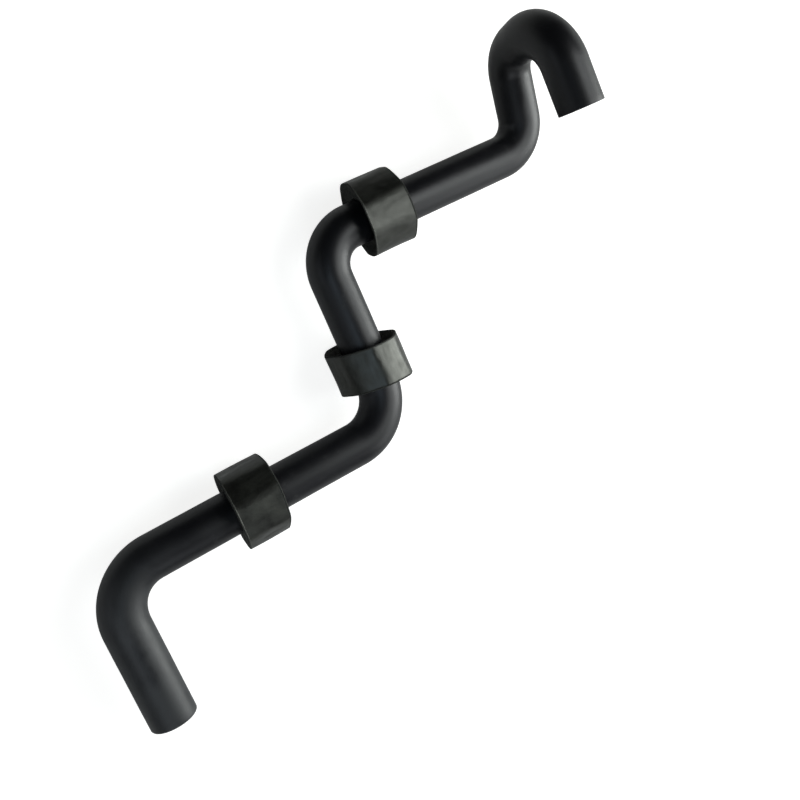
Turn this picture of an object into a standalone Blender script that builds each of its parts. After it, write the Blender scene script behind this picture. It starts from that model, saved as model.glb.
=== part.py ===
"""A crankcase breather hose: one moulded rubber tube with three foam rubber sleeves on it.

The hose is drawn as a bending table, from its lower mouth to its upper mouth: a straight,
a bend into the next direction, a straight, and so on. Its long part is flat and lies on the
three sleeves. Past the last sleeve it rises, turns over and ends in a short free leg.
Everything is in metres, with +Z up. The origin is under the middle of the part, on the
surface that it lies on.
"""
from collections import namedtuple
from math import ceil, cos, pi, radians, sin

import bmesh
import bpy
from mathutils import Matrix, Vector

# Hose section
HOSE_OD = 0.0240
HOSE_WALL = 0.0035
LOWER_END_OD = 0.0255
UPPER_END_OD = 0.0260

# How far each wider end reaches along the hose, and how long the hose takes to widen
LOWER_END_LENGTH = 0.0555
UPPER_END_LENGTH = 0.0455
WIDENING_LENGTH = 0.0300

# Rounding of the outer edge at each mouth
LOWER_RIM_ROUND = 0.0016
UPPER_RIM_ROUND = 0.0005

# Straight lengths, from the lower mouth to the upper mouth
LOWER_END_STRAIGHT = 0.0540
LONG_STRAIGHT = 0.1225
STEP_STRAIGHT = 0.0600
UPPER_STRAIGHT = 0.1035
RISE_STRAIGHT = 0.0220
CLIMB_STRAIGHT = 0.0065
FREE_END_STRAIGHT = 0.0245

# Radius of each bend at the hose's centre line, in the same order
ELBOW_RADIUS = 0.0265
STEP_LOWER_RADIUS = 0.0260
STEP_UPPER_RADIUS = 0.0220
RISE_RADIUS = 0.0185
CLIMB_RADIUS = 0.0210
CREST_RADIUS = 0.0220

# Directions in degrees: headings turn from +X towards +Y, slopes are above the surface
ALONG = 0.0
ACROSS = 90.0
BACK = -90.0
RISE_SLOPE = 17.0
CLIMB_SLOPE = 81.5
CLIMB_HEADING = 75.0

# Sleeves: their own section, and how far each lies past the bend before it
SLEEVE_OD = 0.0425
SLEEVE_LENGTH = 0.0240
SLEEVE_EDGE_ROUND = 0.0010
SLEEVE_GAP = 0.0003
LOWER_SLEEVE_OFFSET = 0.0460
MIDDLE_SLEEVE_OFFSET = 0.0005
UPPER_SLEEVE_OFFSET = 0.0060

# Facets
HOSE_SIDES = 24
SLEEVE_SIDES = 32
BEND_STEP = 9.0
ROUND_STEPS = 2
SMOOTH_ANGLE = 40.0

# Points closer than this are one point
SAME_PLACE = 0.000002

# Colours (red, green, blue), and roughness
HOSE_COLOUR = (0.013, 0.013, 0.014)
HOSE_ROUGHNESS = 0.42
SLEEVE_COLOUR = (0.022, 0.023, 0.021)
SLEEVE_ROUGHNESS = 0.70

# A stretch of hose: its straight, its direction, and the bend that leads on from it
Run = namedtuple("Run", "name length heading slope bend_radius")

RUNS = [
    Run("lower_end", LOWER_END_STRAIGHT, ACROSS, 0.0, ELBOW_RADIUS),
    Run("long", LONG_STRAIGHT, ALONG, 0.0, STEP_LOWER_RADIUS),
    Run("step", STEP_STRAIGHT, ACROSS, 0.0, STEP_UPPER_RADIUS),
    Run("upper", UPPER_STRAIGHT, ALONG, 0.0, RISE_RADIUS),
    Run("rise", RISE_STRAIGHT, ACROSS, RISE_SLOPE, CLIMB_RADIUS),
    Run("climb", CLIMB_STRAIGHT, CLIMB_HEADING, CLIMB_SLOPE, CREST_RADIUS),
    Run("free_end", FREE_END_STRAIGHT, BACK, 0.0, None),
]

# A sleeve: the stretch of hose that it sits on, and how far along that straight it starts
Sleeve = namedtuple("Sleeve", "name run offset")

SLEEVES = [
    Sleeve("sleeve_lower", "long", LOWER_SLEEVE_OFFSET),
    Sleeve("sleeve_middle", "step", MIDDLE_SLEEVE_OFFSET),
    Sleeve("sleeve_upper", "upper", UPPER_SLEEVE_OFFSET),
]

# A place on the centre line: the frame there, with its Z axis along the hose, and the
# distance from the lower mouth
Station = namedtuple("Station", "frame distance")


def clear_scene():
    """Removes every object that the scene holds."""
    for old in list(bpy.data.objects):
        bpy.data.objects.remove(old, do_unlink=True)


def direction(run):
    """The unit vector along a run."""
    heading = radians(run.heading)
    slope = radians(run.slope)
    return Vector((cos(heading) * cos(slope), sin(heading) * cos(slope), sin(slope)))


def first_frame():
    """The frame at the lower mouth, with Z along the first run and Y straight up."""
    along = direction(RUNS[0])
    up = Vector((0.0, 0.0, 1.0))
    side = up.cross(along)
    return Matrix((side, up, along)).transposed().to_4x4()


def turned(frame, centre, axis, angle):
    """The frame after a turn about an axis through a bend's centre."""
    move = Matrix.Translation(centre)
    return move @ Matrix.Rotation(angle, 4, axis) @ move.inverted() @ frame


def walk_hose():
    """Follows the bending table; returns the stations, and the station where each straight starts."""
    frame = first_frame()
    distance = 0.0
    stations = [Station(frame, distance)]
    starts = {}
    for run, following in zip(RUNS, RUNS[1:] + [None]):
        starts[run.name] = Station(frame, distance)
        frame = frame @ Matrix.Translation((0.0, 0.0, run.length))
        distance += run.length
        stations.append(Station(frame, distance))
        if following is None:
            break
        before = direction(run)
        after = direction(following)
        axis = before.cross(after).normalized()
        angle = before.angle(after)
        centre = frame.translation + axis.cross(before) * run.bend_radius
        steps = ceil(angle / radians(BEND_STEP))
        for _ in range(steps):
            frame = turned(frame, centre, axis, angle / steps)
            distance += run.bend_radius * angle / steps
            stations.append(Station(frame, distance))
    return stations, starts


def eased(share):
    """A share from 0 to 1 that starts and ends gently."""
    share = min(max(share, 0.0), 1.0)
    return share * share * (3.0 - 2.0 * share)


def outer_radius(distance, total):
    """The hose's outside radius at a distance from its lower mouth."""
    below = eased((LOWER_END_LENGTH + WIDENING_LENGTH - distance) / WIDENING_LENGTH)
    above = eased((distance - total + UPPER_END_LENGTH + WIDENING_LENGTH) / WIDENING_LENGTH)
    diameter = HOSE_OD + (LOWER_END_OD - HOSE_OD) * below + (UPPER_END_OD - HOSE_OD) * above
    return diameter / 2.0


def corner_radius(flat_radius, sides):
    """The radius at the corners of a polygon whose flats lie at flat_radius."""
    return flat_radius / cos(pi / sides)


def sweep(bm, frames, radii, sides):
    """Extrudes a circle from frame to frame; the last ring has to fall on the first one."""
    verts = bmesh.ops.create_circle(bm, segments=sides, radius=radii[0], matrix=frames[0])["verts"]
    ring = list({edge for vert in verts for edge in vert.link_edges})
    for step in range(1, len(frames)):
        grown = bmesh.ops.extrude_edge_only(bm, edges=ring)["geom"]
        verts = [item for item in grown if isinstance(item, bmesh.types.BMVert)]
        edges = [item for item in grown if isinstance(item, bmesh.types.BMEdge)]
        ring = [edge for edge in edges if all(vert in verts for vert in edge.verts)]
        size = Matrix.Scale(radii[step] / radii[step - 1], 4)
        bmesh.ops.transform(bm, matrix=frames[step] @ size @ frames[step - 1].inverted(), verts=verts)
    bmesh.ops.remove_doubles(bm, verts=bm.verts, dist=SAME_PLACE)


def ring_edges(bm, frame, radius):
    """The edges of the ring of a given radius at a frame."""
    to_frame = frame.inverted()

    def on_ring(vert):
        place = to_frame @ vert.co
        return abs(place.z) < SAME_PLACE and abs(place.xy.length - radius) < SAME_PLACE

    return [edge for edge in bm.edges if all(on_ring(vert) for vert in edge.verts)]


def make_material(name, colour, roughness):
    """A plain Principled material."""
    material = bpy.data.materials.new(name)
    material.use_nodes = True
    shader = material.node_tree.nodes["Principled BSDF"]
    shader.inputs["Base Color"].default_value = (*colour, 1.0)
    shader.inputs["Roughness"].default_value = roughness
    shader.inputs["Metallic"].default_value = 0.0
    return material


def make_tube(name, frames, outer, inner, rounds, sides, material):
    """A hollow tube along the frames, with flat rims whose outer edges are rounded.

    outer and inner are the radii of the two walls at each frame, and rounds is the rounding
    at the first and the last rim. The surface goes out along the outer wall, over the last
    rim, back along the bore and over the first rim.
    """
    bm = bmesh.new()
    loop_frames = frames + frames[::-1] + frames[:1]
    loop_radii = outer + inner[::-1] + outer[:1]
    sweep(bm, loop_frames, loop_radii, sides)
    for end, rounding in zip((0, -1), rounds):
        bmesh.ops.bevel(
            bm, geom=ring_edges(bm, frames[end], outer[end]), offset=rounding,
            offset_type="OFFSET", segments=ROUND_STEPS, profile=0.5, affect="EDGES",
            material=-1, clamp_overlap=True,
        )
    bmesh.ops.recalc_face_normals(bm, faces=bm.faces)
    mesh = bpy.data.meshes.new(name)
    bm.to_mesh(mesh)
    bm.free()
    mesh.shade_smooth()
    mesh.set_sharp_from_angle(angle=radians(SMOOTH_ANGLE))
    mesh.materials.append(material)
    tube = bpy.data.objects.new(name, mesh)
    bpy.context.scene.collection.objects.link(tube)
    return tube


def make_hose(stations):
    """The moulded hose, with the same wall all along and an open mouth at each end."""
    total = stations[-1].distance
    radii = [outer_radius(station.distance, total) for station in stations]
    outer = [corner_radius(radius, HOSE_SIDES) for radius in radii]
    inner = [corner_radius(radius - HOSE_WALL, HOSE_SIDES) for radius in radii]
    return make_tube(
        name="breather_hose",
        frames=[station.frame for station in stations],
        outer=outer,
        inner=inner,
        rounds=[min(rounding, HOSE_WALL / 2.0) for rounding in (LOWER_RIM_ROUND, UPPER_RIM_ROUND)],
        sides=HOSE_SIDES,
        material=make_material("moulded_rubber", HOSE_COLOUR, HOSE_ROUGHNESS),
    )


def make_sleeve(sleeve, start, total):
    """A foam rubber sleeve pushed on to the hose, with one of its flats facing down."""
    half_turn_of_a_side = Matrix.Rotation(pi / SLEEVE_SIDES, 4, "Z")
    ends = [sleeve.offset, sleeve.offset + SLEEVE_LENGTH]
    frames = [
        start.frame @ Matrix.Translation((0.0, 0.0, end)) @ half_turn_of_a_side for end in ends
    ]
    hose_radius = max(outer_radius(start.distance + end, total) for end in ends)
    bore = corner_radius(hose_radius, HOSE_SIDES) + SLEEVE_GAP
    foam = SLEEVE_OD / 2.0 - bore
    rounding = min(SLEEVE_EDGE_ROUND, foam / 2.0)
    return make_tube(
        name=sleeve.name,
        frames=frames,
        outer=[corner_radius(SLEEVE_OD / 2.0, SLEEVE_SIDES)] * len(ends),
        inner=[corner_radius(bore, SLEEVE_SIDES)] * len(ends),
        rounds=[rounding, rounding],
        sides=SLEEVE_SIDES,
        material=make_material(sleeve.name + "_foam", SLEEVE_COLOUR, SLEEVE_ROUGHNESS),
    )


def lay_down(pieces):
    """Moves the meshes so that the part lies on z = 0 with its middle over the origin."""
    corners = [vert.co for piece in pieces for vert in piece.data.vertices]
    low = Vector([min(corner[axis] for corner in corners) for axis in range(3)])
    high = Vector([max(corner[axis] for corner in corners) for axis in range(3)])
    base = Vector(((low.x + high.x) / 2.0, (low.y + high.y) / 2.0, low.z))
    for piece in pieces:
        piece.data.transform(Matrix.Translation(-base))


def main():
    """Builds the hose and its sleeves."""
    clear_scene()
    stations, starts = walk_hose()
    total = stations[-1].distance
    pieces = [make_hose(stations)]
    for sleeve in SLEEVES:
        pieces.append(make_sleeve(sleeve, starts[sleeve.run], total))
    lay_down(pieces)


main()
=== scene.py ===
"""The looks of a crankcase breather hose with three foam rubber sleeves.

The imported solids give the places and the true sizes. Here the hose is drawn again as a fine
mesh along the same bending table, with rounded rims and a faintly uneven skin, and each sleeve
as a ring of foam with soft flats, worn edges and cut end faces. The rubber and the foam are
procedural materials. A floor, nine soft lamps and a camera stand round them. Everything is in
metres, with +Z up.
"""
import logging
import math
from dataclasses import dataclass, field
from enum import Enum

import bmesh
import bpy
from mathutils import Matrix, Vector, noise


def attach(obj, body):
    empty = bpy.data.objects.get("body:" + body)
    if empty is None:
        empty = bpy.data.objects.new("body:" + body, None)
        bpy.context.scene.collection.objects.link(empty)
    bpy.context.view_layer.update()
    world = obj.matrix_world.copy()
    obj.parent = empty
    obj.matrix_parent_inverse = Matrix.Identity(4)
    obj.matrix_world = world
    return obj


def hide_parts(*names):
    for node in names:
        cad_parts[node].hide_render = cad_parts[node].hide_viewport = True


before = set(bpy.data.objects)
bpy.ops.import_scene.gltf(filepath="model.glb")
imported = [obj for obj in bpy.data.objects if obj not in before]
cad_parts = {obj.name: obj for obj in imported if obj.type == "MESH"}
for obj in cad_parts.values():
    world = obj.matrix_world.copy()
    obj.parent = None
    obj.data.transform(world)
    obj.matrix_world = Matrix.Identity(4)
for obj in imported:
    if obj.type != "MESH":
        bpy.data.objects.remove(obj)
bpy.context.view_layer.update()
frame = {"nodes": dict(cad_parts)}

LOG = logging.getLogger("breather_hose")

# The one body of the part
BODY = "root"

# Points closer than this are one point
SAME_PLACE = 0.000002

# Vertex attributes: the place on the piece as if it were straight, and how far a face is cut foam
STRAIGHT = "straight"
CUT = "cut"

# Random patches lie about this number
PATCH_MEAN = 0.5

# An area lamp with this spread, in degrees, shines to all sides before it
FULL_SPREAD = 180.0

# Where the lamps for the whole part look
PART_MIDDLE = (0.0, 0.0, 0.03)

Colour = tuple[float, float, float]
Point = tuple[float, float, float]
Pair = tuple[float, float]


class Heading(Enum):
    """The directions in which the flat part of the hose runs, in degrees from +X to +Y."""

    ALONG = 0.0
    ACROSS = 90.0
    BACK = -90.0
    CLIMBING = 75.0


class End(Enum):
    """The two mouths of the hose, by their index among its stations."""

    LOWER = 0
    UPPER = -1


# Shader maths


class Wire:
    """A number that a node gives out; an expression on it adds its Math nodes."""

    def __init__(self, sheet: "NodeSheet", socket: bpy.types.NodeSocket) -> None:
        """Holds the socket and the sheet that it is drawn on.

        Args:
            sheet: The node sheet of the socket.
            socket: The output socket.
        """
        self.sheet = sheet
        self.socket = socket

    def __add__(self, other: "Wire | float") -> "Wire":
        """Gives the sum of two numbers."""
        return self.sheet.math("ADD", self, other)

    def __sub__(self, other: "Wire | float") -> "Wire":
        """Gives this number less another."""
        return self.sheet.math("SUBTRACT", self, other)

    def __rsub__(self, other: "Wire | float") -> "Wire":
        """Gives another number less this one."""
        return self.sheet.math("SUBTRACT", other, self)

    def __mul__(self, other: "Wire | float") -> "Wire":
        """Gives the product of two numbers."""
        return self.sheet.math("MULTIPLY", self, other)

    __radd__ = __add__
    __rmul__ = __mul__

    def swing(self, amount: float) -> "Wire":
        """Turns random patches into a swing about 0 by an amount."""
        return (self - PATCH_MEAN) * amount

    def between(self, low: float, high: float) -> "Wire":
        """Gives 0 below low, 1 above high, and a gentle rise from one to the other.

        Args:
            low: The number that becomes 0.
            high: The number that becomes 1.

        Returns:
            The eased share.
        """
        settings = {"interpolation_type": "SMOOTHSTEP", "clamp": True}
        inputs = {"Value": self, "From Min": low, "From Max": high, "To Min": 0.0, "To Max": 1.0}
        return self.sheet.wire(self.sheet.node("ShaderNodeMapRange", settings, inputs), "Result")


class NodeSheet:
    """The node tree of a material or of the world, with one method that makes any node."""

    def __init__(self, owner: bpy.types.Material | bpy.types.World) -> None:
        """Empties the owner's node tree and takes it over.

        Args:
            owner: The material or the world.
        """
        owner.use_nodes = True
        self.tree = owner.node_tree
        self.tree.nodes.clear()

    def node(
        self, kind: str, settings: dict | None = None, inputs: dict | None = None,
    ) -> bpy.types.Node:
        """Adds a node of any kind.

        Args:
            kind: The node's type.
            settings: The node's own settings, which are set first.
            inputs: A value or a wire for each socket that is named or numbered.

        Returns:
            The new node.
        """
        made = self.tree.nodes.new(kind)
        for name, value in (settings or {}).items():
            setattr(made, name, value)
        for key, value in (inputs or {}).items():
            socket = made.inputs[key]
            if isinstance(value, Wire):
                self.tree.links.new(value.socket, socket)
            elif isinstance(value, tuple) and len(value) == 3 and socket.type == "RGBA":
                socket.default_value = (*value, 1.0)
            else:
                socket.default_value = value
        return made

    def wire(self, made: bpy.types.Node, output: str | int = 0) -> Wire:
        """Gives a node's output as a wire."""
        return Wire(self, made.outputs[output])

    def math(self, operation: str, first: Wire | float, second: Wire | float) -> Wire:
        """Adds a Math node on two numbers.

        Args:
            operation: The node's operation.
            first: The first number.
            second: The second number.

        Returns:
            The result.
        """
        made = self.node("ShaderNodeMath", {"operation": operation}, {0: first, 1: second})
        return self.wire(made)

    def attribute(self, name: str, output: str) -> Wire:
        """Gives a vertex attribute of the piece."""
        return self.wire(self.node("ShaderNodeAttribute", {"attribute_name": name}), output)

    def drawn_out(self, vector: Wire, share: float) -> Wire:
        """Gives coordinates that draw patches out along the piece, as Z counts for a share."""
        inputs = {0: vector, 1: (1.0, 1.0, share)}
        made = self.node("ShaderNodeVectorMath", {"operation": "MULTIPLY"}, inputs)
        return self.wire(made, "Vector")

    def axis(self, vector: Wire, name: str) -> Wire:
        """Gives one coordinate of a vector, by the name X, Y or Z."""
        return self.wire(self.node("ShaderNodeSeparateXYZ", inputs={0: vector}), name)

    def clouds(
        self, vector: Wire, size: float, detail: float = 2.0, roughness: float = 0.5,
    ) -> Wire:
        """Gives soft random patches about 0.5.

        Args:
            vector: The coordinates to read, in metres.
            size: The width of a patch in metres.
            detail: How many finer layers are added.
            roughness: How strong each finer layer is.

        Returns:
            The strength of the patches.
        """
        inputs = {"Vector": vector, "Scale": 1.0 / size, "Detail": detail, "Roughness": roughness}
        return self.wire(self.node("ShaderNodeTexNoise", inputs=inputs), "Fac")

    def cells(self, vector: Wire, size: float) -> Wire:
        """Gives the distance to the middle of the nearest of many random cells.

        Args:
            vector: The coordinates to read, in metres.
            size: The width of a cell in metres.

        Returns:
            The distance, from 0 at a cell's middle to about 0.7 at its corners.
        """
        inputs = {"Vector": vector, "Scale": 1.0 / size}
        return self.wire(self.node("ShaderNodeTexVoronoi", inputs=inputs), "Distance")

    def blend(self, first: Wire | Colour, second: Wire | Colour, share: Wire) -> Wire:
        """Mixes two colours.

        Args:
            first: The colour at a share of 0.
            second: The colour at a share of 1.
            share: The share of the second colour.

        Returns:
            The mixed colour.
        """
        made = self.node("ShaderNodeMix", {"data_type": "RGBA"}, {"Factor": share})
        sockets = [socket for socket in made.inputs if socket.type == "RGBA"]
        for socket, value in zip(sockets, (first, second)):
            if isinstance(value, Wire):
                self.tree.links.new(value.socket, socket)
            else:
                socket.default_value = (*value, 1.0)
        return Wire(self, next(socket for socket in made.outputs if socket.type == "RGBA"))

    def relief(
        self, height: Wire, depth: float, strength: float = 1.0, under: Wire | None = None,
    ) -> Wire:
        """Turns a height into a slope of the surface.

        Args:
            height: The height, as a share of the depth.
            depth: The relief's depth in metres.
            strength: How strongly the relief shows.
            under: A relief that this one lies on.

        Returns:
            The surface normal.
        """
        inputs = {"Height": height, "Distance": depth, "Strength": strength}
        if under is not None:
            inputs["Normal"] = under
        return self.wire(self.node("ShaderNodeBump", inputs=inputs), "Normal")

    def looks(self, mirrored: float) -> tuple[Wire, Wire]:
        """Tells the camera's own look at a surface from a reflection of that surface.

        Args:
            mirrored: The number that stands for a reflection.

        Returns:
            1 in the camera's own look and else 0, and the number in a reflection and else 0.
        """
        paths = self.node("ShaderNodeLightPath")
        seen = self.wire(paths, "Is Camera Ray") + self.wire(paths, "Is Transmission Ray")
        return seen, self.wire(paths, "Is Glossy Ray") * mirrored

    def finish(self, shader: bpy.types.Node, output: str = "ShaderNodeOutputMaterial") -> None:
        """Leads a shader to the sheet's output."""
        self.node(output, inputs={"Surface": self.wire(shader)})


# Finishes


@dataclass(frozen=True)
class MouldedRubber:
    """Satin black rubber with a fine grain, drawn lines along it and a grey bloom at one end.

    A pair is where something sets in and where it is there in full, on patches from 0 to 1.
    """

    name: str = "moulded_rubber"
    black: Colour = (0.0048, 0.0050, 0.0068)
    deep: Colour = (0.0028, 0.0030, 0.0048)
    black_patches: Pair = (0.30, 0.70)
    patch_size: float = 0.022
    fine_patch_size: float = 0.0044
    bloom: Colour = (0.0450, 0.0475, 0.0495)
    bloom_share: float = 0.85
    bloom_patches: Pair = (0.15, 0.55)
    bloom_full: float = 0.040
    bloom_end: float = 0.115
    scuff: Colour = (0.0420, 0.0420, 0.0400)
    scuff_share: float = 0.35
    scuff_patches: Pair = (0.50, 0.75)
    scuff_fine_patches: Pair = (0.56, 0.74)
    gloss: float = 0.5
    roughness: float = 0.40
    patch_roughness: float = 0.16
    fine_roughness: float = 0.08
    grain_roughness: float = 0.08
    bloom_roughness: float = 0.08
    scuff_roughness: float = 0.10
    grain_size: float = 0.00045
    grain_depth: float = 0.000012
    grain_strength: float = 0.8
    line_size: float = 0.0011
    line_z_share: float = 0.012
    line_depth: float = 0.000010
    line_strength: float = 0.6

    def material(self) -> bpy.types.Material:
        """Draws the rubber.

        Returns:
            The material.
        """
        made = bpy.data.materials.new(self.name)
        sheet = NodeSheet(made)
        place = sheet.attribute(STRAIGHT, "Vector")
        distance = sheet.axis(place, "Z")
        patches = sheet.clouds(place, self.patch_size, detail=3.0)
        fine_patches = sheet.clouds(place, self.fine_patch_size)
        grain = sheet.clouds(place, self.grain_size, roughness=0.6)
        lines = sheet.clouds(sheet.drawn_out(place, self.line_z_share), self.line_size, detail=1.0)

        near_mouth = 1.0 - distance.between(self.bloom_full, self.bloom_end)
        bloom = near_mouth * patches.between(*self.bloom_patches)
        scuffs = patches.between(*self.scuff_patches)
        scuffs = scuffs * fine_patches.between(*self.scuff_fine_patches)
        colour = sheet.blend(self.deep, self.black, patches.between(*self.black_patches))
        colour = sheet.blend(colour, self.bloom, bloom * self.bloom_share)
        colour = sheet.blend(colour, self.scuff, scuffs * self.scuff_share)
        roughness = self.roughness + patches.swing(self.patch_roughness)
        roughness = roughness + fine_patches.swing(self.fine_roughness)
        roughness = roughness + grain.swing(self.grain_roughness)
        roughness = roughness + bloom * self.bloom_roughness + scuffs * self.scuff_roughness
        normal = sheet.relief(lines, self.line_depth, self.line_strength)
        normal = sheet.relief(grain, self.grain_depth, self.grain_strength, under=normal)
        inputs = {
            "Base Color": colour, "Roughness": roughness, "Normal": normal,
            "Specular IOR Level": self.gloss,
        }
        sheet.finish(sheet.node("ShaderNodeBsdfPrincipled", inputs=inputs))
        return made


@dataclass(frozen=True)
class FoamRubber:
    """Dull black closed-cell foam: a thin streaked skin outside, and open pores where it is cut.

    A pair is where something sets in and where it is there in full, on patches from 0 to 1.
    """

    name: str = "foam_rubber"
    skin: Colour = (0.0016, 0.0019, 0.0013)
    pale_skin: Colour = (0.0066, 0.0076, 0.0049)
    patch_size: float = 0.009
    pale_patches: Pair = (0.36, 0.68)
    patch_share: float = 0.70
    streak_size: float = 0.0016
    streak_z_share: float = 0.06
    pale_streaks: Pair = (0.50, 0.72)
    streak_share: float = 0.35
    cut: Colour = (0.0120, 0.0128, 0.0112)
    pore: Colour = (0.0020, 0.0020, 0.0020)
    pore_size: float = 0.00110
    pore_walls: Pair = (0.10, 0.45)
    pore_depth: float = 0.00035
    gloss: float = 0.80
    gloss_tint: Colour = (0.98, 1.0, 0.92)
    roughness: float = 0.41
    patch_roughness: float = 0.40
    streak_roughness: float = 0.14
    cut_roughness: float = 0.90
    grain_size: float = 0.00088
    grain_depth: float = 0.00005
    grain_strength: float = 0.5
    dent_size: float = 0.0058
    dent_z_share: float = 0.6
    dent_depth: float = 0.00050

    def material(self) -> bpy.types.Material:
        """Draws the foam.

        Returns:
            The material.
        """
        made = bpy.data.materials.new(self.name)
        sheet = NodeSheet(made)
        place = sheet.attribute(STRAIGHT, "Vector")
        cut = sheet.attribute(CUT, "Fac")
        patches = sheet.clouds(place, self.patch_size, detail=4.0, roughness=0.6)
        streaks = sheet.clouds(sheet.drawn_out(place, self.streak_z_share), self.streak_size)
        pores = sheet.cells(place, self.pore_size).between(*self.pore_walls)
        grain = sheet.clouds(place, self.grain_size, detail=3.0, roughness=0.65)
        dents = sheet.clouds(sheet.drawn_out(place, self.dent_z_share), self.dent_size, detail=1.0)

        pale = patches.between(*self.pale_patches) * self.patch_share
        pale = pale + streaks.between(*self.pale_streaks) * self.streak_share
        skin = sheet.blend(self.skin, self.pale_skin, pale)
        open_cells = sheet.blend(self.pore, self.cut, pores)
        colour = sheet.blend(skin, open_cells, cut)
        roughness = self.roughness + patches.swing(self.patch_roughness)
        roughness = roughness + streaks.swing(self.streak_roughness)
        roughness = roughness * (1.0 - cut) + cut * self.cut_roughness
        normal = sheet.relief(dents, self.dent_depth)
        normal = sheet.relief(grain, self.grain_depth, self.grain_strength, under=normal)
        normal = sheet.relief(pores * cut, self.pore_depth, under=normal)
        inputs = {
            "Base Color": colour, "Roughness": roughness, "Normal": normal,
            "Specular IOR Level": self.gloss, "Specular Tint": self.gloss_tint,
        }
        sheet.finish(sheet.node("ShaderNodeBsdfPrincipled", inputs=inputs))
        return made


# The way of the hose


@dataclass(frozen=True)
class Run:
    """A straight of the hose, its direction, and the radius of the bend that leads on from it."""

    name: str
    length: float
    heading: Heading
    slope: float
    bend_radius: float | None

    def direction(self) -> Vector:
        """Gives the unit vector along the straight.

        Returns:
            The vector.
        """
        heading = math.radians(self.heading.value)
        slope = math.radians(self.slope)
        flat = math.cos(slope)
        return Vector((math.cos(heading) * flat, math.sin(heading) * flat, math.sin(slope)))


@dataclass(frozen=True)
class Station:
    """A place on the hose's centre line, with its Z axis along the hose."""

    frame: Matrix
    distance: float


@dataclass
class Route:
    """The hose's bending table, from the lower mouth to the upper mouth."""

    lower_mouth: Point = (-0.160456, -0.127849, 0.02125)
    straight_step: float = 0.0040
    bend_step: float = 2.5
    # Each straight's name, length, heading and slope, and the radius of the bend after it
    runs: tuple[Run, ...] = (
        Run("lower_end", 0.0540, Heading.ACROSS, 0.0, 0.0265),
        Run("long", 0.1225, Heading.ALONG, 0.0, 0.0260),
        Run("step", 0.0600, Heading.ACROSS, 0.0, 0.0220),
        Run("upper", 0.1035, Heading.ALONG, 0.0, 0.0185),
        Run("rise", 0.0220, Heading.ACROSS, 17.0, 0.0210),
        Run("climb", 0.0065, Heading.CLIMBING, 81.5, 0.0220),
        Run("free_end", 0.0245, Heading.BACK, 0.0, None),
    )
    stations: list[Station] = field(default_factory=list)
    starts: dict[str, Station] = field(default_factory=dict)

    def walk(self) -> None:
        """Follows the table, and notes the stations and where each straight starts."""
        along = self.runs[0].direction()
        up = Vector((0.0, 0.0, 1.0))
        at_mouth = Matrix((up.cross(along), up, along)).transposed().to_4x4()
        at_mouth.translation = self.lower_mouth
        here = Station(at_mouth, 0.0)
        self.stations.append(here)
        for run, following in zip(self.runs, self.runs[1:] + (None,)):
            self.starts[run.name] = here
            here = self.go_straight(here, run)
            if following is not None:
                here = self.go_round(here, run, following)

    def go_straight(self, here: Station, run: Run) -> Station:
        """Adds the stations of a straight.

        Args:
            here: The station where it starts.
            run: The straight.

        Returns:
            The station where it ends.
        """
        steps = math.ceil(run.length / self.straight_step)
        stride = Matrix.Translation((0.0, 0.0, run.length / steps))
        for _ in range(steps):
            here = Station(here.frame @ stride, here.distance + run.length / steps)
            self.stations.append(here)
        return here

    def go_round(self, here: Station, run: Run, following: Run) -> Station:
        """Adds the stations of a bend.

        Args:
            here: The station where it starts.
            run: The straight before it.
            following: The straight after it.

        Returns:
            The station where it ends.
        """
        before = run.direction()
        after = following.direction()
        axis = before.cross(after).normalized()
        angle = before.angle(after)
        centre = Matrix.Translation(here.frame.translation + axis.cross(before) * run.bend_radius)
        steps = math.ceil(angle / math.radians(self.bend_step))
        turn = centre @ Matrix.Rotation(angle / steps, 4, axis) @ centre.inverted()
        for _ in range(steps):
            here = Station(turn @ here.frame, here.distance + run.bend_radius * angle / steps)
            self.stations.append(here)
        return here

    def length(self) -> float:
        """Gives the length of the centre line."""
        return self.stations[-1].distance


def eased(share: float) -> float:
    """Gives a share from 0 to 1 that starts and ends gently."""
    share = min(max(share, 0.0), 1.0)
    return share * share * (3.0 - 2.0 * share)


def sunk_share(place: Vector) -> float:
    """Gives how far a skin sinks at a place, from 0 to 1, in soft random patches."""
    return 0.5 + 0.5 * noise.noise(place)


def finished_object(
    name: str, bm: bmesh.types.BMesh, material: bpy.types.Material,
) -> bpy.types.Object:
    """Turns a bmesh into a smooth-shaded piece at the origin.

    Args:
        name: The piece's name.
        bm: The finished bmesh, which is freed.
        material: The piece's material.

    Returns:
        The piece.
    """
    mesh = bpy.data.meshes.new(name)
    bm.to_mesh(mesh)
    bm.free()
    mesh.shade_smooth()
    mesh.materials.append(material)
    piece = bpy.data.objects.new(name, mesh)
    bpy.context.scene.collection.objects.link(piece)
    return piece


# The hose


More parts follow.
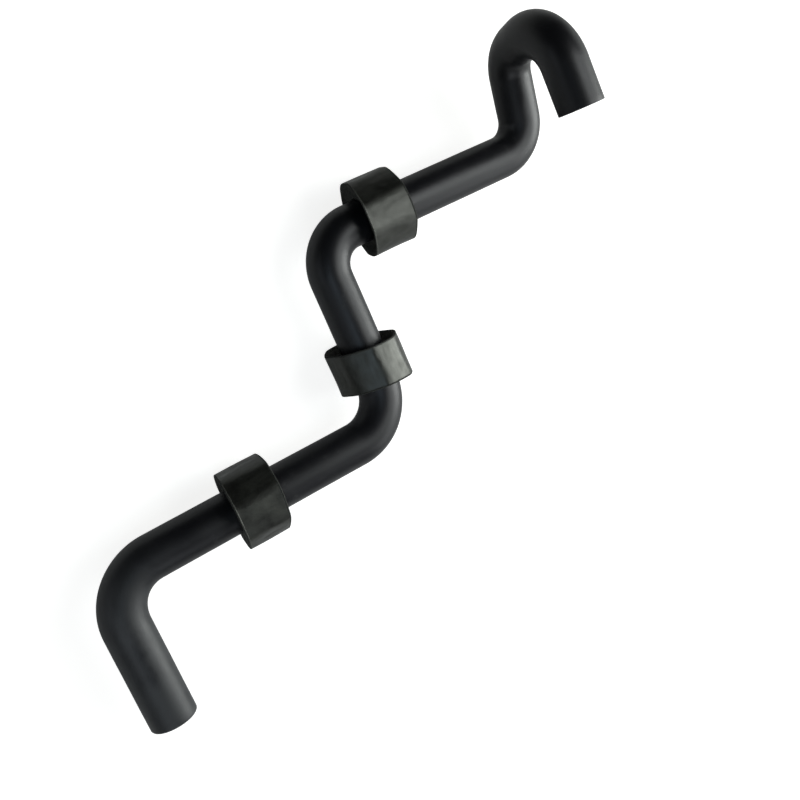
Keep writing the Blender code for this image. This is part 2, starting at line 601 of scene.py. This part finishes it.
@dataclass
class BreatherHose:
    """The moulded hose: one open tube, wider at both mouths."""

    name: str = "hose_skin"
    node: str = "breather_hose"
    diameter: float = 0.0240
    wall: float = 0.0035
    lower_diameter: float = 0.0255
    upper_diameter: float = 0.0260
    lower_length: float = 0.0555
    upper_length: float = 0.0455
    widening: float = 0.0300
    lower_round: float = 0.0016
    upper_round: float = 0.0005
    rim_steps: int = 6
    bore_round: float = 0.0003
    bore_steps: int = 3
    sides: int = 72
    unevenness: float = 0.00012
    unevenness_size: float = 0.020
    finish: MouldedRubber = MouldedRubber()

    def radius(self, distance: float, total: float) -> float:
        """Gives the outside radius at a place on the hose.

        Args:
            distance: The distance from the lower mouth.
            total: The hose's length.

        Returns:
            The radius.
        """
        below = eased((self.lower_length + self.widening - distance) / self.widening)
        above = eased((distance - total + self.upper_length + self.widening) / self.widening)
        wider_below = (self.lower_diameter - self.diameter) * below
        wider_above = (self.upper_diameter - self.diameter) * above
        return (self.diameter + wider_below + wider_above) / 2.0

    def build(self, route: Route) -> bpy.types.Object:
        """Makes the hose.

        Args:
            route: The hose's bending table, walked.

        Returns:
            The hose's object.
        """
        total = route.length()
        outer = [self.radius(station.distance, total) for station in route.stations]
        bore = [radius - self.wall for radius in outer]
        bm = bmesh.new()
        stations = route.stations + route.stations[::-1] + route.stations[:1]
        self.sweep(bm, stations, outer + bore[::-1] + outer[:1])
        for end, rounding in ((End.LOWER, self.lower_round), (End.UPPER, self.upper_round)):
            mouth = route.stations[end.value].frame
            self.round_rim(bm, mouth, outer[end.value], rounding, self.rim_steps)
            self.round_rim(bm, mouth, bore[end.value], self.bore_round, self.bore_steps)
        bmesh.ops.recalc_face_normals(bm, faces=bm.faces)
        self.soften(bm)
        return finished_object(self.name, bm, self.finish.material())

    def sweep(self, bm: bmesh.types.BMesh, stations: list[Station], radii: list[float]) -> None:
        """Extrudes a circle out along the outer wall and back along the bore, to where it began.

        Args:
            bm: The bmesh to fill.
            stations: The stations, out and back.
            radii: The circle's radius at each station.
        """
        straight = bm.verts.layers.float_vector.new(STRAIGHT)
        first = stations[0]
        circle = bmesh.ops.create_circle(
            bm, segments=self.sides, radius=radii[0], matrix=first.frame,
        )
        verts = circle["verts"]
        ring = list({edge for vert in verts for edge in vert.link_edges})
        self.note_places(verts, straight, first)
        for before, here, old, new in zip(stations, stations[1:], radii, radii[1:]):
            grown = bmesh.ops.extrude_edge_only(bm, edges=ring)["geom"]
            verts = [item for item in grown if isinstance(item, bmesh.types.BMVert)]
            known = set(verts)
            edges = [item for item in grown if isinstance(item, bmesh.types.BMEdge)]
            ring = [edge for edge in edges if known.issuperset(edge.verts)]
            move = here.frame @ Matrix.Scale(new / old, 4) @ before.frame.inverted()
            bmesh.ops.transform(bm, matrix=move, verts=verts)
            self.note_places(verts, straight, here)
        bmesh.ops.remove_doubles(bm, verts=bm.verts, dist=SAME_PLACE)

    def note_places(self, verts: list, layer: object, station: Station) -> None:
        """Writes where each vertex of a ring would be if the hose were straight.

        Args:
            verts: The ring's vertices.
            layer: The attribute to write.
            station: The ring's station.
        """
        to_station = station.frame.inverted()
        for vert in verts:
            vert[layer] = to_station @ vert.co + Vector((0.0, 0.0, station.distance))

    def round_rim(
        self, bm: bmesh.types.BMesh, mouth: Matrix, radius: float, rounding: float, steps: int,
    ) -> None:
        """Rounds one edge of a mouth.

        Args:
            bm: The hose's bmesh.
            mouth: The frame at the mouth.
            radius: The edge's radius.
            rounding: The radius of the rounding.
            steps: The faces across the rounding.
        """
        to_mouth = mouth.inverted()
        on_rim = set()
        for vert in bm.verts:
            place = to_mouth @ vert.co
            if abs(place.z) < SAME_PLACE and abs(place.xy.length - radius) < SAME_PLACE:
                on_rim.add(vert)
        edges = [edge for edge in bm.edges if on_rim.issuperset(edge.verts)]
        bmesh.ops.bevel(
            bm, geom=edges, offset=rounding, offset_type="OFFSET", affect="EDGES",
            segments=steps, profile=0.5, material=-1, clamp_overlap=True,
        )

    def soften(self, bm: bmesh.types.BMesh) -> None:
        """Lets the skin sink a little here and there, as moulded rubber does."""
        straight = bm.verts.layers.float_vector[STRAIGHT]
        bm.normal_update()
        for vert in bm.verts:
            depth = sunk_share(vert[straight] / self.unevenness_size)
            vert.co -= vert.normal * depth * self.unevenness

    def place(self, route: Route) -> bpy.types.Object:
        """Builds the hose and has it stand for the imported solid."""
        piece = self.build(route)
        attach(piece, BODY)
        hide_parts(self.node)
        return piece


# The sleeves


@dataclass
class FoamSleeve:
    """A ring of foam rubber on the hose, with soft flats round it and cut end faces.

    Angles go round the hose from its side to its top. A slant is how far an end face is cut
    towards the other end, at the side and at the top. A lean is how far the outside is pushed
    over, to the side and up. A hollow is how deep an end face dips next to the hose, most of all
    at the hollow angle, and the less elsewhere the lower the evenness. It is at its full depth on
    the inner share of the wall that the lip share gives, rises from there to the rim, and is gone
    within one part in hollow_fade of the length. The flats wander round the hose by up to the
    wander, in radians.
    """

    name: str
    node: str
    run: str
    offset: float
    flat_angle: float
    diameter: float = 0.0425
    length: float = 0.0240
    lean: Pair = (0.0, 0.0)
    start_slant: Pair = (0.0, 0.0)
    end_slant: Pair = (0.0, 0.0)
    start_hollow: float = 0.0012
    end_hollow: float = 0.0012
    hollow_angle: float = 135.0
    hollow_evenness: float = 1.0
    hollow_fade: float = 3.0
    lip_share: float = 0.30
    bore_diameter: float = 0.0243
    edge_round: float = 0.0007
    bore_round: float = 0.0007
    edge_steps: int = 5
    rest_depth: float = 0.02125
    sides: int = 160
    length_cuts: int = 21
    face_cuts: int = 9
    flats: int = 8
    flatness: float = 0.50
    corner_share: float = 0.30
    wander: float = 0.10
    wander_size: float = 0.02
    unevenness: float = 0.00045
    unevenness_size: float = 0.0065
    unevenness_z_share: float = 0.35
    # How fast the look of a cut face sets in inwards, and how far it comes round the edge
    cut_rise: float = 2.0
    cut_reach: float = 1.7

    def build(self, route: Route, material: bpy.types.Material) -> bpy.types.Object:
        """Makes the sleeve.

        Args:
            route: The hose's bending table, walked.
            material: The foam's material.

        Returns:
            The sleeve's object.
        """
        bm = bmesh.new()
        self.turn_ring(bm)
        self.round_edges(bm)
        bmesh.ops.recalc_face_normals(bm, faces=bm.faces)
        self.note_places(bm)
        self.press(bm)
        on_hose = route.starts[self.run].frame @ Matrix.Translation((0.0, 0.0, self.offset))
        bmesh.ops.transform(bm, matrix=on_hose, verts=bm.verts)
        return finished_object(self.name, bm, material)

    def turn_ring(self, bm: bmesh.types.BMesh) -> None:
        """Spins the sleeve's section once round, with its bore along Z."""
        outer = self.diameter / 2.0
        bore = self.bore_diameter / 2.0
        corners = [(bore, 0.0), (outer, 0.0), (outer, self.length), (bore, self.length)]
        verts = [bm.verts.new((x, 0.0, z)) for x, z in corners]
        cuts = (self.face_cuts, self.length_cuts, self.face_cuts, self.length_cuts)
        edges = [bm.edges.new(ends) for ends in zip(verts, verts[1:] + verts[:1])]
        for edge, count in zip(edges, cuts):
            bmesh.ops.subdivide_edges(bm, edges=[edge], cuts=count)
        bmesh.ops.spin(
            bm, geom=list(bm.verts) + list(bm.edges), cent=(0.0, 0.0, 0.0), axis=(0.0, 0.0, 1.0),
            dvec=(0.0, 0.0, 0.0), angle=2.0 * math.pi, steps=self.sides, use_merge=True,
            use_duplicate=False,
        )
        bmesh.ops.remove_doubles(bm, verts=bm.verts, dist=SAME_PLACE)

    def round_edges(self, bm: bmesh.types.BMesh) -> None:
        """Rounds the outer and the inner edge of both end faces."""
        rounds = ((self.diameter, self.edge_round), (self.bore_diameter, self.bore_round))
        for diameter, rounding in rounds:
            on_rims = set()
            for vert in bm.verts:
                off_end = min(abs(vert.co.z), abs(vert.co.z - self.length))
                off_edge = abs(vert.co.xy.length - diameter / 2.0)
                if max(off_end, off_edge) < SAME_PLACE:
                    on_rims.add(vert)
            rims = [edge for edge in bm.edges if on_rims.issuperset(edge.verts)]
            bmesh.ops.bevel(
                bm, geom=rims, offset=rounding, offset_type="OFFSET", affect="EDGES",
                segments=self.edge_steps, profile=0.5, material=-1, clamp_overlap=True,
            )

    def note_places(self, bm: bmesh.types.BMesh) -> None:
        """Writes where each vertex is on the sleeve, and marks the faces that a knife has cut."""
        straight = bm.verts.layers.float_vector.new(STRAIGHT)
        cut = bm.verts.layers.float.new(CUT)
        outer = self.diameter / 2.0
        # Each sleeve's flat angle is its own, so it also takes the sleeve to its own patches
        own_patches = Vector((0.0, 0.0, self.flat_angle))
        for vert in bm.verts:
            vert[straight] = vert.co + own_patches
            inward = (outer - vert.co.xy.length) / self.edge_round
            inset = min(vert.co.z, self.length - vert.co.z) / self.edge_round
            vert[cut] = max(eased(inward * self.cut_rise), eased(self.cut_reach - inset))

    def corner_rise(self, angle: float) -> float:
        """Gives how far the foam stands out at an angle, between its flats.

        Args:
            angle: The angle round the hose, in radians.

        Returns:
            The rise as a share of the radius.
        """
        half = math.pi / self.flats
        off_flat = abs((angle - math.radians(self.flat_angle) + half) % (2.0 * half) - half)
        soft = half * (1.0 - self.corner_share)
        if off_flat < soft:
            return self.flatness * off_flat ** 2 / 2.0
        past = off_flat - soft
        rounded = soft * past - soft * past ** 2 / (2.0 * (half - soft))
        return self.flatness * (soft ** 2 / 2.0 + rounded)

    def hollow_share(self, angle: float) -> float:
        """Gives how much of a hollow's depth there is at an angle round the hose, in radians."""
        facing = 0.5 + 0.5 * math.cos(angle - math.radians(self.hollow_angle))
        return self.hollow_evenness + (1.0 - self.hollow_evenness) * facing

    def end_shift(self, side: Vector, along: float, away: float, angle: float) -> float:
        """Gives how far the slants and the hollows move a point of the foam along the hose.

        Args:
            side: The point's place across the hose, as a share of the radius.
            along: Its place along the sleeve, from 0 to 1.
            away: Its place from the bore to the outside, from 0 to 1.
            angle: Its angle round the hose, in radians.

        Returns:
            The shift.
        """
        starting = self.start_slant[0] * side.x + self.start_slant[1] * side.y
        ending = self.end_slant[0] * side.x + self.end_slant[1] * side.y
        near_start = eased(1.0 - along * self.hollow_fade)
        near_end = eased(along * self.hollow_fade - (self.hollow_fade - 1.0))
        hollow = self.start_hollow * near_start - self.end_hollow * near_end
        hollow *= eased((1.0 - away) / (1.0 - self.lip_share)) * self.hollow_share(angle)
        return starting * (1.0 - along) - ending * along + hollow

    def press(self, bm: bmesh.types.BMesh) -> None:
        """Gives the foam its soft flats, its unevenness, and its slanted and hollowed end faces."""
        outer = self.diameter / 2.0
        bore = self.bore_diameter / 2.0
        seed = Vector((self.flat_angle, 0.0, 0.0))
        for vert in bm.verts:
            across = vert.co.xy
            away = (across.length - bore) / (outer - bore)
            wandering = self.wander * noise.noise(vert.co / self.wander_size + seed)
            angle = math.atan2(across.y, across.x) + wandering
            drawn_out = Vector((across.x, across.y, vert.co.z * self.unevenness_z_share))
            rise = self.corner_rise(angle) * outer
            rise -= self.unevenness * sunk_share(drawn_out / self.unevenness_size + seed)
            vert.co.z += self.end_shift(across / outer, vert.co.z / self.length, away, angle)
            vert.co.xy = across + across.normalized() * rise * away + Vector(self.lean) * away
            vert.co.y = max(vert.co.y, -self.rest_depth)

    def place(self, route: Route, material: bpy.types.Material) -> bpy.types.Object:
        """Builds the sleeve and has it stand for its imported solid."""
        piece = self.build(route, material)
        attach(piece, BODY)
        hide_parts(self.node)
        return piece


# The studio


def toward(azimuth: float, elevation: float) -> Vector:
    """Gives a unit vector by its azimuth from +X and its height above level, in degrees."""
    flat = math.cos(math.radians(elevation))
    turn = math.radians(azimuth)
    return Vector((flat * math.cos(turn), flat * math.sin(turn), math.sin(math.radians(elevation))))


@dataclass(frozen=True)
class Softbox:
    """A soft lamp that faces a point.

    The azimuth and the elevation say where it hangs, seen from that point. The brightness is that
    of its cloth, where 1 is white. A spread under 180 degrees keeps its light near its axis.
    """

    name: str
    azimuth: float
    elevation: float
    width: float
    height: float
    brightness: float
    colour: Colour
    aim: Point = PART_MIDDLE
    distance: float = 1.2
    spread: float = FULL_SPREAD

    def focus(self) -> float:
        """Gives how many times brighter a narrow spread makes the lamp straight on.

        Returns:
            The factor, which is 1 at the full spread.
        """
        if self.spread >= FULL_SPREAD:
            return 1.0
        half = math.radians(self.spread) / 2.0
        return math.tan(half) / (math.tan(half) - half)

    def hang(self) -> None:
        """Puts the lamp in its place."""
        lamp = bpy.data.lights.new(self.name, "AREA")
        lamp.shape = "RECTANGLE"
        lamp.size = self.width
        lamp.size_y = self.height
        lamp.color = self.colour
        lamp.spread = math.radians(self.spread)
        lamp.energy = self.brightness * math.pi * self.width * self.height / self.focus()
        hung = bpy.data.objects.new(self.name, lamp)
        away = toward(self.azimuth, self.elevation)
        turn = away.to_track_quat("Z", "Y").to_matrix().to_4x4()
        hung.matrix_world = Matrix.Translation(Vector(self.aim) + away * self.distance) @ turn
        bpy.context.scene.collection.objects.link(hung)


@dataclass(frozen=True)
class Viewpoint:
    """The camera, by the point that it looks at and where it stands from there."""

    target: Point = (0.02273, -0.03714, 0.02125)
    distance: float = 0.58641
    azimuth: float = 151.3463
    elevation: float = 65.1990
    roll: float = 92.6916
    lens: float = 47.6565
    nearest: float = 0.01

    def set_up(self) -> None:
        """Makes the scene's camera."""
        data = bpy.data.cameras.new("camera")
        data.lens = self.lens
        data.dof.use_dof = False
        data.clip_start = self.nearest
        camera = bpy.data.objects.new("camera", data)
        away = toward(self.azimuth, self.elevation)
        turn = away.to_track_quat("Z", "Y").to_matrix().to_4x4()
        turn = turn @ Matrix.Rotation(math.radians(self.roll), 4, "Z")
        camera.matrix_world = Matrix.Translation(Vector(self.target) + away * self.distance) @ turn
        bpy.context.scene.collection.objects.link(camera)
        bpy.context.scene.camera = camera


@dataclass
class Studio:
    """A pale floor, soft lamps and a dim room, which the camera sees as white.

    The floor's whiteness grows from the near one to the far one between two distances from its
    middle. What is mirrored is the share of that white that the part's reflections see.
    """

    floor_width: float = 6.0
    floor_squares: int = 4
    floor_drop: float = 0.0001
    floor_colour: Colour = (0.60, 0.60, 0.59)
    white: Colour = (1.0, 1.0, 0.99)
    near_white: float = 0.84
    far_white: float = 1.0
    near: float = 0.35
    far: float = 1.10
    floor_mirrored: float = 0.09
    room_light: float = 0.01
    room_mirrored: float = 0.02
    lamps: tuple[Softbox, ...] = (
        Softbox(
            "key", azimuth=-15.0, elevation=19.5, width=0.62, height=0.80,
            brightness=6.5, colour=(0.965, 1.0, 0.98),
        ),
        Softbox(
            "top", azimuth=-22.0, elevation=57.0, width=0.80, height=0.62,
            brightness=1.5, colour=(0.96, 1.0, 0.99),
        ),
        Softbox(
            "side", azimuth=-47.0, elevation=20.0, width=0.62, height=0.85,
            brightness=1.7, colour=(0.96, 0.99, 1.0),
        ),
        Softbox(
            "edge", azimuth=15.0, elevation=10.0, width=0.62, height=0.42,
            brightness=1.0, colour=(0.965, 1.0, 0.98),
        ),
        Softbox(
            "back", azimuth=-110.0, elevation=30.0, width=0.80, height=0.62,
            brightness=1.3, colour=(0.90, 0.95, 1.0),
        ),
        Softbox(
            "fill", azimuth=168.0, elevation=20.0, width=0.80, height=0.60,
            brightness=0.5, colour=(0.86, 0.93, 1.0),
        ),
        Softbox(
            "lower_end", azimuth=-158.0, elevation=50.0, width=0.30, height=0.26,
            brightness=1.6, colour=(0.84, 0.92, 1.0),
            aim=(-0.16, -0.09, 0.02), distance=0.45, spread=50.0,
        ),
        Softbox(
            "middle", azimuth=-160.0, elevation=66.0, width=0.30, height=0.26,
            brightness=2.1, colour=(0.70, 0.85, 1.0),
            aim=(-0.01, -0.01, 0.03), distance=0.45, spread=40.0,
        ),
        Softbox(
            "hook_end", azimuth=-15.0, elevation=60.0, width=0.34, height=0.26,
            brightness=1.8, colour=(0.96, 0.99, 1.0),
            aim=(0.11, 0.08, 0.05), distance=0.45,
        ),
    )

    def lay_floor(self) -> None:
        """Lays the floor under the part."""
        bm = bmesh.new()
        bmesh.ops.create_grid(
            bm, x_segments=self.floor_squares, y_segments=self.floor_squares,
            size=self.floor_width / 2.0,
        )
        bmesh.ops.translate(bm, vec=(0.0, 0.0, -self.floor_drop), verts=bm.verts)
        material = bpy.data.materials.new("studio_floor")
        sheet = NodeSheet(material)
        plain = sheet.wire(sheet.node("ShaderNodeBsdfDiffuse", inputs={"Color": self.floor_colour}))
        white = sheet.wire(sheet.node("ShaderNodeEmission", inputs={"Color": self.white}))
        lit = sheet.wire(sheet.node("ShaderNodeAddShader", inputs={0: plain, 1: white}))
        place = sheet.wire(sheet.node("ShaderNodeTexCoord"), "Object")
        length = sheet.node("ShaderNodeVectorMath", {"operation": "LENGTH"}, {0: place})
        away = sheet.wire(length, "Value").between(self.near, self.far)
        whiteness = self.near_white + away * (self.far_white - self.near_white)
        seen, mirrored = sheet.looks(self.floor_mirrored)
        inputs = {"Fac": seen * whiteness + mirrored, 1: plain, 2: lit}
        sheet.finish(sheet.node("ShaderNodeMixShader", inputs=inputs))
        finished_object("studio_floor", bm, material)

    def light_room(self) -> None:
        """Makes the room dim, and white where the camera looks past the floor."""
        world = bpy.data.worlds.new("studio")
        sheet = NodeSheet(world)
        seen, mirrored = sheet.looks(self.room_mirrored)
        dim = (self.room_light, self.room_light, self.room_light)
        inputs = {"Color": sheet.blend(dim, self.white, seen + mirrored)}
        sheet.finish(sheet.node("ShaderNodeBackground", inputs=inputs), "ShaderNodeOutputWorld")
        bpy.context.scene.world = world

    def set_up(self) -> None:
        """Builds the floor, the room, the lamps and the camera."""
        self.lay_floor()
        self.light_room()
        for lamp in self.lamps:
            lamp.hang()
            LOG.info("lamp %s", lamp.name)
        Viewpoint().set_up()
        bpy.context.scene.view_settings.view_transform = "Standard"


SLEEVES = (
    FoamSleeve(
        "sleeve_lower_foam", "sleeve_lower", "long", offset=0.0455, flat_angle=10.0,
        length=0.0245, start_slant=(0.0, -0.0027), end_slant=(-0.0011, 0.0006),
    ),
    FoamSleeve(
        "sleeve_middle_foam", "sleeve_middle", "step", offset=-0.0015, flat_angle=17.0,
        diameter=0.0411, length=0.0244, start_slant=(0.0015, -0.0006),
        end_slant=(-0.0013, 0.0018), end_hollow=0.0070, flatness=0.64,
    ),
    FoamSleeve(
        "sleeve_upper_foam", "sleeve_upper", "upper", offset=0.0058, flat_angle=3.0,
        diameter=0.0430, length=0.0248, lean=(0.0010, 0.0), start_slant=(0.0, -0.0038),
        end_slant=(0.0006, 0.0004), start_hollow=0.0060, hollow_evenness=0.2,
    ),
)


def main() -> None:
    """Builds the studio, the hose and its sleeves."""
    Studio().set_up()
    route = Route()
    route.walk()
    pieces = [BreatherHose().place(route)]
    foam = FoamRubber().material()
    for sleeve in SLEEVES:
        pieces.append(sleeve.place(route, foam))
    for piece in pieces:
        LOG.info("%s: %d faces", piece.name, len(piece.data.polygons))


if __name__ == "__main__":
    logging.basicConfig(level=logging.INFO, format="%(name)s: %(message)s")
    main()
